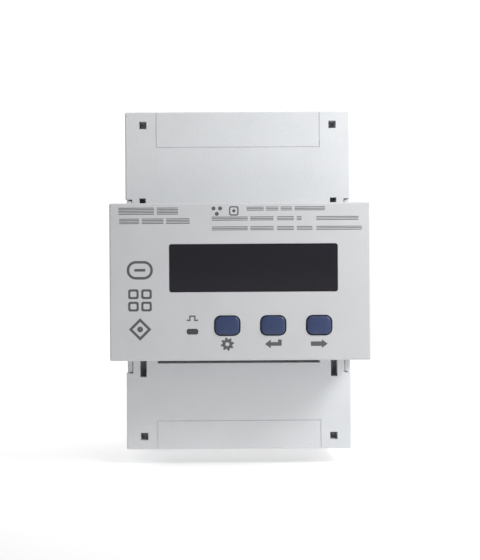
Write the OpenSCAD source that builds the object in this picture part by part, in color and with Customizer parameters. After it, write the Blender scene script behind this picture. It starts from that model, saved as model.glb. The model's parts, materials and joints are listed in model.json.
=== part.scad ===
// Three-phase smart electric meter that clips on a 35 mm mounting rail.
// +X is right, +Z is up and the rail is on the +Y side. The origin is the middle of the
// rail seat. Depths are written as f, the distance in front of that seat, so y is -f.

/* [Enclosure] */
// Width of the nose, which holds the display
nose_w = 72; // [71:0.5:74]
// Height of the nose
nose_h = 43.5; // [43.3:0.1:43.6]
// Corner radius of the nose
nose_r = 0.5; // [0.4:0.1:1.2]
// Width of the housing behind the nose
body_w = 66.1; // [65.9:0.1:66.6]
// Overall height
body_h = 100; // [99:0.5:102]
// Corner radius of the housing and the covers
body_r = 0.6; // [0.5:0.1:1.5]
// Chamfer on the front and rear edges
edge_break = 0.4; // [0.2:0.1:0.4]
// Thickness of the side and end walls
wall = 1.8; // [1.6:0.1:1.8]

/* [Depths in front of the rail seat] */
// Reach of the base behind the rail seat
rear_reach = 6; // [5.8:0.1:6.5]
// Front edge of the base housing
split_f = 30; // [29.9:0.1:30]
// Front edge of the frame round the terminal bays
ring_f = 37.4; // [36.5:0.1:37.4]
// Rear of the wide nose
nose_root_f = 41.5; // [41:0.1:41.6]
// Front face of the nose
nose_f = 58.9; // [58.9:0.1:59.5]
// Thickness of the nose's front wall
front_wall = 2; // [1.6:0.1:2]

/* [Terminal covers] */
// Width of a cover
cover_w = 66.7; // [66.5:0.1:67]
// Thickness of a cover's plate
cover_t = 1.8; // [1.6:0.1:1.8]
// Front face of the covers
cover_f = 43.5; // [43.4:0.1:43.6]
// Height of the top cover's hinge line
top_hinge_z = 22.85; // [22.85:0.05:22.95]
// Distance of the bottom cover's hinge line below the middle
bottom_hinge_z = 25.3; // [25.2:0.05:25.4]
// Radius of the hinge pins
hinge_pin_r = 0.5; // [0.45:0.05:0.55]
// Radial clearance of the pins in their ears
hinge_play = 0.05; // [0.03:0.01:0.08]
// Side of the square holes for the seal wire
seal_hole = 2.2; // [1.6:0.1:2.4]

/* [Rail mount] */
// Height of the rail that the seat is made for
rail_h = 35; // [34.8:0.1:35.2]
// Overlap of the hooks behind the rail's flanges
hook_grip = 1.5; // [1.2:0.1:1.5]
// Gap for the rail's flange, behind the seat
flange_gap = 1.3; // [1.2:0.05:1.4]
// Width of the sliding clip
clip_w = 14; // [12:0.5:14]
// Thickness of the sliding clip
clip_t = 3.1; // [2.8:0.1:3.1]
// Travel of the sliding clip
clip_travel = 4.5; // [3.5:0.1:4.5]

/* [Terminals] */
// Distance between neighbouring poles
pole_pitch = 15.5; // [15.4:0.05:15.5]
// Radius of the wire bore in a terminal
wire_r = 4.3; // [3.5:0.1:4.3]
// Depth of the wire bores' axes
wire_f = 18; // [17.9:0.1:18.1]
// Distance of the clamp screws from the middle
clamp_z = 35.8; // [35.4:0.1:36.4]
// Radius of a clamp screw's thread
clamp_r = 2.55; // [2.3:0.05:2.6]
// Number of poles on the signal terminal strip
signal_poles = 10; // [6:1:10]

/* [Display and keys] */
// Width of the display window
window_w = 46.4; // [44:0.2:46.8]
// Height of the display window
window_h = 13.2; // [12:0.2:13.6]
// Offset of the window's middle to the right
window_x = 3.7; // [3:0.1:4.5]
// Offset of the window's middle upwards
window_z = 3.8; // [3.6:0.1:4]
// Distance between neighbouring keys
key_pitch = 12.65; // [12:0.05:13]
// Offset of the middle key to the right
key_x = 9.05; // [8.5:0.05:9.5]
// Distance of the keys below the middle
key_drop = 12.1; // [12:0.1:12.2]
// Height that the keys stand proud of the nose
key_proud = 0.6; // [0.4:0.1:0.8]
// Travel of a key
key_travel = 0.8; // [0.5:0.1:0.8]

/* [Hidden] */
$fn = 48;
cut = 0.1;
housing_grey = [0.84, 0.85, 0.86];
board_green = [0.10, 0.36, 0.22];
copper = [0.80, 0.48, 0.30];
brass = [0.80, 0.70, 0.42];
zinc = [0.72, 0.73, 0.75];

end_z = body_h / 2;
bay_z = end_z - wall;
body_x = body_w / 2;
nose_z = nose_h / 2;
nose_in_z = nose_z - wall;
front_in_f = nose_f - front_wall;

// Base housing
cavity_x = body_x - wall;
cavity_z = 29;
cross_z = 30.6;
floor_f = 2.3;
seat_relief = 0.5;
cell_w = 14;
cell_floor_f = 8.2;
wire_entry_r = wire_r + 0.9;
rail_high_z = rail_h / 2 + 0.4;
rail_low_z = -rail_h / 2 - 2;
pole_x = [for (i = [0:3]) (i - 1.5) * pole_pitch];

// Recess on each flank, and the label in the right one
flank_recess = [21, 33];
flank_recess_t = 0.3;
flank_recess_at = [16, 0];
label_margin = 0.4;
label_t = 0.15;

// Case screws and board pins
case_screw_at = [28.9, 24.6];
case_screw_r = 1.3;
screw_seat_f = -1.2;
screw_tip_f = split_f + 4.4;
board_pin_at = [28.7, 17];
board_pin_r = 0.9;
display_pin_at = [28.8, 17];
display_pin_r = 0.8;

// Front housing
ledge_f = split_f + 1.8;
shelf_x = 24.5;
shelf_z = 40.2;
ear_x = [31.5, body_x - 0.1];
seam = 0.3;
lug_x = [29.2, 31.3];
hinge_r = 1;
hinge_f = cover_f - hinge_r;
cover_back_f = cover_f - cover_t;
seal_at = [28.05, end_z - 3.9];
seal_floor_f = ring_f + 1.8;
seal_wire_r = 0.8;

// Clip
clip_slack = 0.1;
clip_back_f = -flange_gap - clip_slack - clip_t;
clip_front_f = -flange_gap - clip_slack;
clip_tip_z = -rail_h / 2 + hook_grip;
clip_low_z = 0.5 - end_z;
spring_low_z = -39;
spring_closed_h = 8.5;
spring_z = [spring_low_z, spring_low_z + spring_closed_h + clip_travel];
spring_rib_h = 2.5;

// Boards
main_board_f = [21.5, 23.1];
display_board_f = [49.6, 51.2];
signal_board_f = [ledge_f, ledge_f + 1.6];

// Busbars and terminals
busbar_w = 6;
busbar_f = [10, 12.4];
busbar_z = 41;
block_z = [31.2, 41.5];
block_f = [cell_floor_f, 26.3];
clamp_head_f = [27.3, 29.7];
signal_pitch = 4.6;
signal_x = [for (i = [0:signal_poles - 1]) (i - (signal_poles - 1) / 2) * signal_pitch];
signal_strip_f = [signal_board_f[1], cover_back_f - 0.5];
signal_screw_z = 43.6;
strip_end_z = end_z - 0.2;
tongue_x = 2.5;

// Display, keys and pulse light
window_at = [window_x, window_z];
window_f = [nose_f - 1.3, nose_f - 0.1];
lcd_f = [54, 56.4];
lcd_glass_size = [50, 19];
key_hole = [7.3, 5.7];
key_at = [for (i = [0:2]) [key_x + (i - 1) * key_pitch, -key_drop]];
dome_f = [display_board_f[1], 54.6];
dome_foot_r = 4.2;
pill_f = [dome_f[0] + key_travel + 0.1, 53.9];
pulse_at = [-13.2, -13.7];
lens_size = [3.1, 1.5];

function sym(half) = [-half, half];
function about(middle, half) = [middle - half, middle + half];
function from(base, span) = [base + span[0], base + span[1]];

// A box between two limits on each axis
module block(x, f, z) {
    translate([x[0], -f[1], z[0]])
        cube([x[1] - x[0], f[1] - f[0], z[1] - z[0]]);
}

module rounded_rect(size, r) {
    square([size[0] - 2 * r, size[1]], center = true);
    square([size[0], size[1] - 2 * r], center = true);
    for (x = [-1, 1], z = [-1, 1])
        translate([x * (size[0] / 2 - r), z * (size[1] / 2 - r)]) circle(r);
}

// A plate with rounded corners that faces forward
module panel(size, r, f, at = [0, 0]) {
    translate([at[0], -f[0], at[1]]) rotate([90, 0, 0])
        linear_extrude(f[1] - f[0]) rounded_rect(size, r);
}

// A plate with rounded corners that faces right, at a depth and a height
module flank_panel(size, r, x, at) {
    translate([x[0], -at[0], at[1]]) rotate([90, 0, 90])
        linear_extrude(x[1] - x[0]) rounded_rect(size, r);
}

// Cuts that chamfer the four edges of a face of this size at depth f
module edge_cuts(size, f) {
    reach = edge_break * sqrt(2);
    for (side = [-1, 1]) {
        translate([side * size[0] / 2, -f, 0]) rotate([0, 0, 45])
            cube([reach, reach, size[1] + 2], center = true);
        translate([0, -f, side * size[1] / 2]) rotate([45, 0, 0])
            cube([size[0] + 2, reach, reach], center = true);
    }
}

// Round bars along the depth, the height and the width
module rod_f(at, r, f) {
    translate([at[0], -f[0], at[1]]) rotate([90, 0, 0]) cylinder(h = f[1] - f[0], r = r);
}

module rod_z(x, f, r, z) {
    translate([x, -f, z[0]]) cylinder(h = z[1] - z[0], r = r);
}

module rod_x(x, f, r, z) {
    translate([x[0], -f, z]) rotate([0, 90, 0]) cylinder(h = x[1] - x[0], r = r);
}

// The children and their mirror image
module both_x() {
    for (side = [0, 1]) mirror([side, 0, 0]) children();
}

module both_z() {
    for (side = [0, 1]) mirror([0, 0, side]) children();
}

module four() {
    both_x() both_z() children();
}

// ---- Housing -------------------------------------------------------------

module base_cavities() {
    busbar_gap = 0.3;
    block(sym(cavity_x), [floor_f, split_f + cut], sym(cavity_z));
    for (x = pole_x) both_z() {
        block(about(x, cell_w / 2), [cell_floor_f, split_f + cut], [cross_z, bay_z]);
        block(about(x, busbar_w / 2 + busbar_gap), [busbar_f[0] - busbar_gap, split_f + cut],
              [cavity_z - cut, cross_z + cut]);
        rod_z(x, wire_f, wire_entry_r, [bay_z - cut, end_z + cut]);
    }
}

// Pockets behind the terminal cells keep the walls even
module rear_pockets() {
    pocket_z = [31, 47.5];
    pocket_f = [-rear_reach - cut, cell_floor_f - 2];
    top_pocket_w = 12;
    bottom_pocket_x = [[9.4, 15.4], [17.2, 29.4]];
    for (x = pole_x) block(about(x, top_pocket_w / 2), pocket_f, pocket_z);
    both_x() for (x = bottom_pocket_x)
        block(x, pocket_f, [-pocket_z[1], -pocket_z[0]]);
}

// Groove that the clip slides in, open at the back between two lips
module clip_groove() {
    play = 0.2;
    lip = 2.5;
    groove_z = [-end_z - cut, rail_low_z + cut];
    block(sym(clip_w / 2 + play), [clip_back_f - play, clip_front_f + play], groove_z);
    block(sym(clip_w / 2 - lip), [-rear_reach - cut, clip_back_f], groove_z);
}

module base_housing() {
    hook_x = [8, 30];
    hook_t = 3.1;
    seat = [58, 27];
    boss_r = 2.4;
    screw_hole_r = 1.6;
    head_well_r = 2.7;
    post_r = 1.9;
    pin_tip = 0.6;
    spring_rib_x = 2.2;
    color(housing_grey) {
        difference() {
            union() {
                difference() {
                    panel([body_w, body_h], body_r, [-rear_reach, split_f]);
                    base_cavities();
                }
                four() rod_f(case_screw_at, boss_r, [floor_f - cut, split_f]);
                four() rod_f(board_pin_at, post_r, [floor_f - cut, main_board_f[0]]);
                four() rod_f(board_pin_at, board_pin_r, [floor_f, main_board_f[1] + pin_tip]);
            }
            block(sym(body_x + cut), [-rear_reach - cut, seat_relief],
                  [rail_low_z, rail_high_z]);
            clip_groove();
            rear_pockets();
            edge_cuts([body_w, body_h], -rear_reach);
            both_x() flank_panel(flank_recess, 1, [body_x - flank_recess_t, body_x + cut],
                                 flank_recess_at);
            four() rod_f(case_screw_at, screw_hole_r, [-rear_reach - cut, split_f + cut]);
            four() rod_f(case_screw_at, head_well_r, [-rear_reach - cut, screw_seat_f]);
        }
        panel(seat, 1, [0, seat_relief + cut]);
        both_x() block(hook_x, [-flange_gap - hook_t, -flange_gap],
                       [rail_h / 2 - hook_grip, rail_high_z + 0.5]);
        block(sym(spring_rib_x), [clip_back_f, clip_front_f + 0.2 + cut],
              [spring_z[0] - spring_rib_h, spring_z[0]]);
    }
}

module nose_openings() {
    window_fit = 0.1;
    window_lip = [2.4, 2.2];
    through_f = [front_in_f - cut, nose_f + cut];
    panel([window_w + window_fit, window_h + window_fit], 0.65,
          [window_f[0], nose_f + cut], window_at);
    panel([window_w, window_h] - window_lip, 0.4, [front_in_f - cut, nose_f], window_at);
    for (at = key_at) panel(key_hole, 1.9, through_f, at);
    panel(lens_size + [0.1, 0.1], 0.6, through_f, pulse_at);
}

module hinge_ears() {
    root = 0.5;
    bottom_ear = 1.6;
    ear_f = [ring_f - root, cover_f - 0.1];
    both_x() {
        block(ear_x, [ear_f[0], hinge_f], [nose_z - root, top_hinge_z + hinge_r]);
        block(ear_x, ear_f, [nose_z - root, top_hinge_z]);
        rod_x(ear_x, hinge_f, hinge_r, top_hinge_z);
        block(ear_x, ear_f, [-bottom_hinge_z - bottom_ear, root - nose_z]);
    }
}

module ear_holes() {
    hole_r = hinge_pin_r + hinge_play;
    both_x() {
        rod_x(ear_x + [-cut, cut], hinge_f, hole_r, top_hinge_z);
        rod_x(ear_x + [-cut, cut], hinge_f, hole_r, -bottom_hinge_z);
    }
}

// Square wells behind the covers' square holes, with a way out through the end for a wire
module seal_wells() {
    four() {
        translate([seal_at[0], 0, seal_at[1]])
            block(sym(seal_hole / 2), [seal_floor_f, cover_f], sym(seal_hole / 2));
        seal_wire_bore();
    }
}

module seal_wire_bore() {
    rod_z(seal_at[0], seal_floor_f + seal_wire_r, seal_wire_r, [seal_at[1], end_z + cut]);
}

// Posts in the corners that back the covers' square holes
module seal_posts() {
    post = 1.8;
    foot = 4.4;
    four() difference() {
        block([seal_at[0] - post, cavity_x + cut], [ring_f - foot, cover_back_f - 0.3],
              [seal_at[1] - post, bay_z + cut]);
        block([seal_at[0] + post, cavity_x + 1], [ring_f, cover_f], [0, end_z]);
        block([0, body_x], [ring_f, cover_f], [bay_z, end_z]);
    }
}

// Frame round the bays, ledges over the electronics and a shelf for the signal strip. A fine
// step round its rear leaves a seam line between the two housings
module bay_frame() {
    boss_r = 2.6;
    boss_h = 6;
    difference() {
        union() {
            panel([body_w, body_h], body_r, [split_f + seam, ring_f]);
            panel([body_w - 2 * seam, body_h - 2 * seam], body_r - seam, [split_f, ring_f]);
        }
        block(sym(cavity_x), [split_f - cut, ring_f + cut], sym(bay_z));
        block(sym(shelf_x), [ledge_f, ring_f + cut], [bay_z - cut, end_z + cut]);
    }
    both_z() block(sym(cavity_x + cut), [split_f, ledge_f], [nose_z - 1, cross_z]);
    block(sym(shelf_x), [split_f, ledge_f], [shelf_z, bay_z + cut]);
    four() rod_f(case_screw_at, boss_r, [split_f, split_f + boss_h]);
}

module front_housing() {
    nose_in_x = nose_w / 2 - wall;
    root = 0.5;
    tongue_slot_f = signal_board_f + [-0.1, 0.3];
    display_back_f = display_board_f[1];
    display_post_r = 1.5;
    pin_tip = 0.5;
    color(housing_grey) {
        difference() {
            union() {
                bay_frame();
                panel([body_w, nose_h], nose_r, [split_f + seam, nose_root_f + root]);
                panel([nose_w, nose_h], nose_r, [nose_root_f, nose_f]);
                hinge_ears();
                seal_posts();
            }
            block(sym(cavity_x), [split_f - cut, front_in_f], sym(nose_in_z));
            block(sym(nose_in_x), [nose_root_f + wall, front_in_f], sym(nose_in_z));
            block(sym(tongue_x + 0.3), tongue_slot_f, [nose_in_z - cut, nose_z + cut]);
            nose_openings();
            ear_holes();
            four() rod_f(case_screw_at, case_screw_r, [split_f - cut, screw_tip_f + 0.2]);
            seal_wells();
            edge_cuts([nose_w, nose_h], nose_f);
        }
        four() rod_f(display_pin_at, display_post_r, [display_back_f, front_in_f + cut]);
        four() rod_f(display_pin_at, display_pin_r, [display_board_f[0] - pin_tip, front_in_f]);
    }
}

module case_screws() {
    head_r = 2.5;
    head_f = [screw_seat_f - 2.2, screw_seat_f];
    cross_f = [head_f[0] - cut, head_f[0] + 1.2];
    cross = [1.6, 0.35];
    color(zinc) four() difference() {
        union() {
            rod_f(case_screw_at, head_r, head_f);
            rod_f(case_screw_at, case_screw_r - 0.02, [head_f[1] - cut, screw_tip_f]);
        }
        translate([case_screw_at[0], 0, case_screw_at[1]]) {
            block(sym(cross[0]), cross_f, sym(cross[1]));
            block(sym(cross[1]), cross_f, sym(cross[0]));
        }
    }
}

module wiring_label() {
    back_x = body_x - flank_recess_t;
    size = [flank_recess[0] - 2 * label_margin, flank_recess[1] - 2 * label_margin];
    color("white") flank_panel(size, 0.8, [back_x, back_x + label_t], flank_recess_at);
}

// ---- Covers --------------------------------------------------------------

// A cover drawn above the middle. It begins at edge_z beside the nose, and beyond notch_z it
// is as wide as the housing. Slots up to slot_z free its lugs. A relief stands its edge back
// to relief_z between them, and a cover without one has a barrel along its whole edge.
module cover(pivot_z, edge_z, notch_z, slot_z, pad_z, relief_z = 0) {
    pad_x = 24;
    slot_x = [27.3, lug_x[0]];
    skirt = 1.3;
    skirt_f = ring_f + 0.2;
    groove = [0.3, 0.15];
    groove_f = [cover_f - groove[1], cover_f + cut];
    difference() {
        union() {
            difference() {
                panel([cover_w, body_h], body_r, [skirt_f, cover_f]);
                block(sym(body_x - skirt), [0, cover_back_f], sym(bay_z));
                block(sym(pad_x), [0, cover_back_f], [0, end_z + cut]);
                block(sym(cover_w), [0, cover_f + cut], [-end_z - cut, notch_z]);
            }
            block(sym(lug_x[1]), [cover_back_f, cover_f], [edge_z, notch_z + cut]);
            both_x() rod_x(lug_x, hinge_f, hinge_r, pivot_z);
            both_x() rod_x([lug_x[1] - cut, ear_x[1]], hinge_f, hinge_pin_r, pivot_z);
            if (relief_z == 0) rod_x(sym(lug_x[0]), hinge_f, hinge_r, pivot_z);
        }
        both_x() block(slot_x, [0, cover_f + cut], [0, slot_z]);
        if (relief_z > 0) block(sym(pad_x), [0, cover_f + cut], [0, relief_z]);
        both_x() translate([seal_at[0], 0, seal_at[1]])
            block(sym(seal_hole / 2), [0, cover_f + cut], sym(seal_hole / 2));
        both_x() seal_wire_bore();
        both_x() block([pad_x, pad_x + groove[0]], groove_f, [pad_z, end_z + cut]);
        block(sym(pad_x + groove[0]), groove_f, [pad_z, pad_z + groove[0]]);
        edge_cuts([cover_w, body_h], cover_f);
    }
}

module top_cover() {
    notch_z = top_hinge_z + 1.3;
    slot_z = notch_z + 0.3;
    pad_z = 39.3;
    color(housing_grey) cover(top_hinge_z, top_hinge_z, notch_z, slot_z, pad_z);
}

module bottom_cover() {
    edge_z = nose_z + 0.4;
    notch_z = bottom_hinge_z + 2.1;
    slot_z = notch_z + 1.1;
    pad_z = 41.3;
    relief_z = nose_z + 2.75;
    color(housing_grey) mirror([0, 0, 1])
        cover(bottom_hinge_z, edge_z, notch_z, slot_z, pad_z, relief_z);
}

// ---- Rail clip -----------------------------------------------------------

// A flat bar with a ramp at its tip, a window for the spring and a tab with a pry slot
module rail_clip() {
    tab_x = clip_w / 2 - 2.7;
    tab_h = 5;
    spring_window_x = 2.6;
    pry_slot_x = 1.8;
    pry_slot_z = [1.5, 3.7];
    ramp_angle = 40;
    ramp_cut = [4, 3];
    color([0.80, 0.81, 0.82]) difference() {
        union() {
            block(sym(clip_w / 2), [clip_back_f, clip_front_f], [clip_low_z, clip_tip_z]);
            block(sym(tab_x), [-rear_reach + 0.1, clip_front_f],
                  [clip_low_z, clip_low_z + tab_h]);
        }
        block(sym(spring_window_x), [-rear_reach, 0],
              [spring_z[0] - spring_rib_h - clip_slack, spring_z[1]]);
        block(sym(pry_slot_x), [-rear_reach, 0], from(clip_low_z, pry_slot_z));
        translate([0, -clip_back_f, clip_tip_z]) rotate([-ramp_angle, 0, 0])
            block(sym(clip_w), [-ramp_cut[0], 0], sym(ramp_cut[1]));
    }
}

// A closed spring outline with rings for its turns
module clip_spring() {
    turns = 8;
    wire = 0.5;
    coil_r = 1.5;
    length = spring_z[1] - spring_z[0];
    mid_f = (clip_back_f + clip_front_f) / 2;
    color(zinc) difference() {
        union() {
            rod_z(0, mid_f, coil_r - 0.3, spring_z);
            for (i = [0:turns])
                translate([0, -mid_f, spring_z[0] + i * (length - wire) / turns])
                    cylinder(h = wire, r = coil_r);
        }
        rod_z(0, mid_f, coil_r - wire, spring_z + [-cut, cut]);
    }
}

// ---- Display and keys ----------------------------------------------------

module display_window() {
    color([0.16, 0.16, 0.18]) panel([window_w, window_h], 0.6, window_f, window_at);
}

// Holder that clamps the display glass to its board
module lcd_frame() {
    holder = [53, 21];
    glass_room = lcd_glass_size + [0.2, 0.2];
    view = [46.8, 15];
    back_f = display_board_f[1];
    lip_f = [lcd_f[1], front_in_f - 0.1];
    color([0.9, 0.9, 0.88]) difference() {
        panel(holder, 0.5, [back_f, lip_f[1]], window_at);
        panel(glass_room, 0.2, [back_f - cut, lip_f[0]], window_at);
        panel(view, 0.2, [lip_f[0] - cut, lip_f[1] + cut], window_at);
    }
}

// Two glass sheets, of which the front one is shorter
module lcd_glass() {
    sheet = 1.1;
    front_h = 16.2;
    color([0.55, 0.60, 0.55]) {
        panel(lcd_glass_size, 0.05, [lcd_f[0], lcd_f[0] + sheet], window_at);
        panel([lcd_glass_size[0], front_h], 0.05, [lcd_f[0] + sheet - cut, lcd_f[1]], window_at);
    }
}

module lcd_backlight() {
    size = [49.6, 14.4];
    lit = [46, 11];
    color("white") difference() {
        panel(size, 0.3, [display_board_f[1], lcd_f[0]], window_at);
        panel(lit, 0.3, [lcd_f[0] - 0.2, lcd_f[0] + cut], window_at);
    }
}

module zebra_strips() {
    strip = [47, 1.8];
    spread = 8.6;
    color([0.25, 0.25, 0.27]) for (side = [-1, 1])
        translate([window_x, 0, window_z + side * spread])
            block(sym(strip[0] / 2), [display_board_f[1], lcd_f[0]], sym(strip[1] / 2));
}

module display_board() {
    size = [62, 37.6];
    color(board_green) difference() {
        panel(size, 0.8, display_board_f);
        four() rod_f(display_pin_at, display_pin_r + 0.1, display_board_f + [-cut, cut]);
    }
}

module keypad_mat() {
    mat = [35, 9.6];
    mat_f = [display_board_f[1], display_board_f[1] + 1];
    color([0.75, 0.76, 0.78]) difference() {
        panel(mat, 1, mat_f, key_at[1] + [0, -0.1]);
        for (at = key_at) rod_f(at, dome_foot_r + 0.05, mat_f + [-cut, cut]);
    }
}

// A key cap with a lip that keeps it behind the nose
module key(at) {
    cap = [6.7, 5.1];
    lip = [8.4, 6.6];
    lip_f = [front_in_f - 1.1, front_in_f - 0.2];
    color([0.24, 0.28, 0.42]) {
        panel(cap, 1.7, [dome_f[1], nose_f + key_proud], at);
        panel(lip, 2, lip_f, at);
    }
}

// A rubber dome, hollow under its crown, that springs its key back
module dome(at) {
    foot_h = 0.9;
    crown_r = 3;
    top = dome_f[1] - dome_f[0];
    roof = pill_f[1] - dome_f[0];
    color([0.78, 0.79, 0.80])
        translate([at[0], -dome_f[0], at[1]]) rotate([90, 0, 0]) rotate_extrude()
            polygon([
                [dome_foot_r - foot_h, 0],
                [dome_foot_r, 0],
                [dome_foot_r, foot_h],
                [crown_r, top],
                [0, top],
                [0, roof],
                [crown_r - 0.8, roof],
                [dome_foot_r - foot_h, foot_h]
            ]);
}

module pill(at) {
    color([0.12, 0.12, 0.13]) rod_f(at, 1.6, pill_f);
}

module set_button() { key(key_at[0]); }
module esc_button() { key(key_at[1]); }
module next_button() { key(key_at[2]); }
module set_dome() { dome(key_at[0]); }
module esc_dome() { dome(key_at[1]); }
module next_dome() { dome(key_at[2]); }
module set_pill() { pill(key_at[0]); }
module esc_pill() { pill(key_at[1]); }
module next_pill() { pill(key_at[2]); }

module pulse_lens() {
    collar = [4.4, 2.8];
    tail_f = 53.4;
    color([0.35, 0.33, 0.34]) {
        panel(lens_size, 0.55, [tail_f, nose_f], pulse_at);
        panel(collar, 0.6, [front_in_f - 1, front_in_f], pulse_at);
    }
}

module pulse_led() {
    body = [2.8, 1.4];
    dome = [1.8, 1.2];
    color("white") {
        panel(body, 0.1, from(display_board_f[1], [0, 0.8]), pulse_at);
        panel(dome, 0.3, from(display_board_f[1], [0.7, 1.3]), pulse_at);
    }
}

// ---- Electronics ---------------------------------------------------------

module main_board() {
    size = [61.2, 42];
    color(board_green) difference() {
        panel(size, 0.8, main_board_f);
        four() rod_f(board_pin_at, board_pin_r + 0.1, main_board_f + [-cut, cut]);
    }
}

// A steel core with two windows, its coil and the bobbin's foot
module supply_transformer() {
    core_x = [-26, -7];
    core_z = [0, 15];
    core_f = from(main_board_f[1], [2, 17]);
    leg = 4;
    window_w = 4.4;
    coil_w = 11.6;
    coil_proud = 1.2;
    foot_w = 14;
    middle_x = (core_x[0] + core_x[1]) / 2;
    color([0.30, 0.30, 0.33]) {
        difference() {
            block(core_x, core_f, core_z);
            for (side = [-1, 1]) translate([middle_x + side * window_w, 0, 0])
                block(sym(window_w / 2), core_f + [leg, -leg], core_z + [-cut, cut]);
        }
        block(about(middle_x, coil_w / 2), core_f + [leg + 0.6, -leg - 0.6],
              core_z + [-coil_proud, coil_proud]);
        block(about(middle_x, foot_w / 2), [main_board_f[1], core_f[0] + cut], core_z + [1, -1]);
    }
}

module electrolytic_capacitors() {
    can_r = 4.8;
    can_h = 17;
    row_z = 9.5;
    score = [3.6, 0.2];
    score_f = from(main_board_f[1] + can_h, [-0.2, cut]);
    color([0.16, 0.22, 0.34]) for (x = [3, 14, 25]) difference() {
        rod_f([x, row_z], can_r, from(main_board_f[1], [0, can_h]));
        translate([x, 0, row_z]) {
            block(sym(score[0]), score_f, sym(score[1]));
            block(sym(score[1]), score_f, sym(score[0]));
        }
    }
}

module film_capacitors() {
    size = [12.5, 5.5];
    height = 10;
    color([0.85, 0.72, 0.28]) for (x = [-22, -8])
        panel(size, 0.6, from(main_board_f[1], [0, height]), [x, -5]);
}

// Discs on two legs each
module varistors() {
    disc_r = 4.5;
    disc_t = 3.4;
    disc_f = main_board_f[1] + 5.6;
    disc_z = -3;
    leg_x = [1, 2.4];
    color([0.20, 0.42, 0.70]) for (x = [6, 14, 22]) {
        translate([x, -disc_f, disc_z]) rotate([0, 90, 0]) cylinder(h = disc_t, r = disc_r);
        for (z = [-4.9, -1.1])
            block(from(x, leg_x), [main_board_f[1], disc_f], about(z, 0.3));
    }
}

// Two on the main board and the display's driver on the back of its board
module metering_chips() {
    tall = 1.4;
    low = 1.2;
    color([0.10, 0.10, 0.11]) {
        panel([9, 9], 0.3, from(main_board_f[1], [0, tall]), [-20, -14]);
        panel([7, 7], 0.3, from(main_board_f[1], [0, low]), [20, -14]);
        panel([10, 10], 0.3, from(display_board_f[0], [-tall, 0]), [-16, 8]);
    }
}

module optocouplers() {
    size = [4.6, 6.4];
    pitch = 6;
    first_at = [-9, -13.2];
    color([0.90, 0.90, 0.88]) for (i = [0:3])
        panel(size, 0.2, from(main_board_f[1], [0, 3.4]), first_at + [pitch * i, 0]);
}

// Pin headers that join two boards
module header(at, size, f) {
    housing_t = 2.5;
    pitch = 2.54;
    pin_r = 0.35;
    color([0.12, 0.12, 0.13]) {
        panel(size, 0.1, [f[0], f[0] + housing_t], at);
        panel(size, 0.1, [f[1] - housing_t, f[1]], at);
        for (x = [-size[0] / 2 + pitch / 2 : pitch : size[0] / 2 - 1])
            rod_f(at + [x, 0], pin_r, f);
    }
}

module board_header() {
    header([2, -17.7], [25.4, 2.2], [main_board_f[1], display_board_f[0]]);
}

module voltage_taps() {
    color(copper) for (x = pole_x) rod_f([x, 12], 0.7, [busbar_f[1], main_board_f[0]]);
}

// A ring round a busbar with rounded edges
module current_transformer(x) {
    axis_f = (busbar_f[0] + busbar_f[1]) / 2;
    hole_r = 3.8;
    ring = [3.6, 9];
    edge_r = 0.6;
    color([0.13, 0.30, 0.55]) translate([x, -axis_f, 0]) rotate_extrude()
        translate([hole_r + ring[0] / 2, 0]) rounded_rect(ring, edge_r);
}

module current_transformer_l1() { current_transformer(pole_x[0]); }
module current_transformer_l2() { current_transformer(pole_x[1]); }
module current_transformer_l3() { current_transformer(pole_x[2]); }

module busbar(x) {
    color(copper) block(about(x, busbar_w / 2), busbar_f, sym(busbar_z));
}

module busbar_l1() { busbar(pole_x[0]); }
module busbar_l2() { busbar(pole_x[1]); }
module busbar_l3() { busbar(pole_x[2]); }
module busbar_n() { busbar(pole_x[3]); }

// ---- Terminals -----------------------------------------------------------

module terminal(x) {
    block_w = 12.4;
    fit = 0.05;
    color(brass) difference() {
        translate([x, 0, (block_z[0] + block_z[1]) / 2])
            panel([block_w, block_z[1] - block_z[0]], 0.5, block_f);
        rod_z(x, wire_f, wire_r, block_z + [-cut, cut]);
        block(about(x, busbar_w / 2 + fit), busbar_f + [-2 * fit, 2 * fit],
              [block_z[0] - cut, busbar_z + 0.1]);
        rod_f([x, clamp_z], clamp_r + fit, [wire_f, block_f[1] + cut]);
    }
}

module terminal_l1_in() { terminal(pole_x[0]); }
module terminal_l2_in() { terminal(pole_x[1]); }
module terminal_l3_in() { terminal(pole_x[2]); }
module terminal_n_in() { terminal(pole_x[3]); }
module terminal_l1_out() { mirror([0, 0, 1]) terminal(pole_x[0]); }
module terminal_l2_out() { mirror([0, 0, 1]) terminal(pole_x[1]); }
module terminal_l3_out() { mirror([0, 0, 1]) terminal(pole_x[2]); }
module terminal_n_out() { mirror([0, 0, 1]) terminal(pole_x[3]); }

// Cross-slotted clamp screws, backed out so that a wire can go in
module clamp_screws_in() {
    head_r = 3.3;
    slot = [3.4, 0.5];
    cross = [0.5, 2];
    recess_f = from(clamp_head_f[1], [-1.6, cut]);
    color(zinc) for (x = pole_x) difference() {
        union() {
            rod_f([x, clamp_z], clamp_r, [wire_f + wire_r + 0.1, clamp_head_f[0] + cut]);
            rod_f([x, clamp_z], head_r, clamp_head_f);
        }
        translate([x, 0, clamp_z]) {
            block(sym(slot[0]), recess_f, sym(slot[1]));
            block(sym(cross[0]), recess_f, sym(cross[1]));
        }
    }
}

module clamp_screws_out() { mirror([0, 0, 1]) clamp_screws_in(); }

// The signal strip's board, with a tongue down to the main board's header
module signal_board() {
    color(board_green) {
        block(sym(shelf_x - 0.8), signal_board_f, [shelf_z, end_z - 1]);
        block(sym(tongue_x), signal_board_f, [16, shelf_z + 1]);
    }
}

module signal_header() {
    header([0, 17.5], [5, 2.2], [main_board_f[1], signal_board_f[0]]);
}

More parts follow.
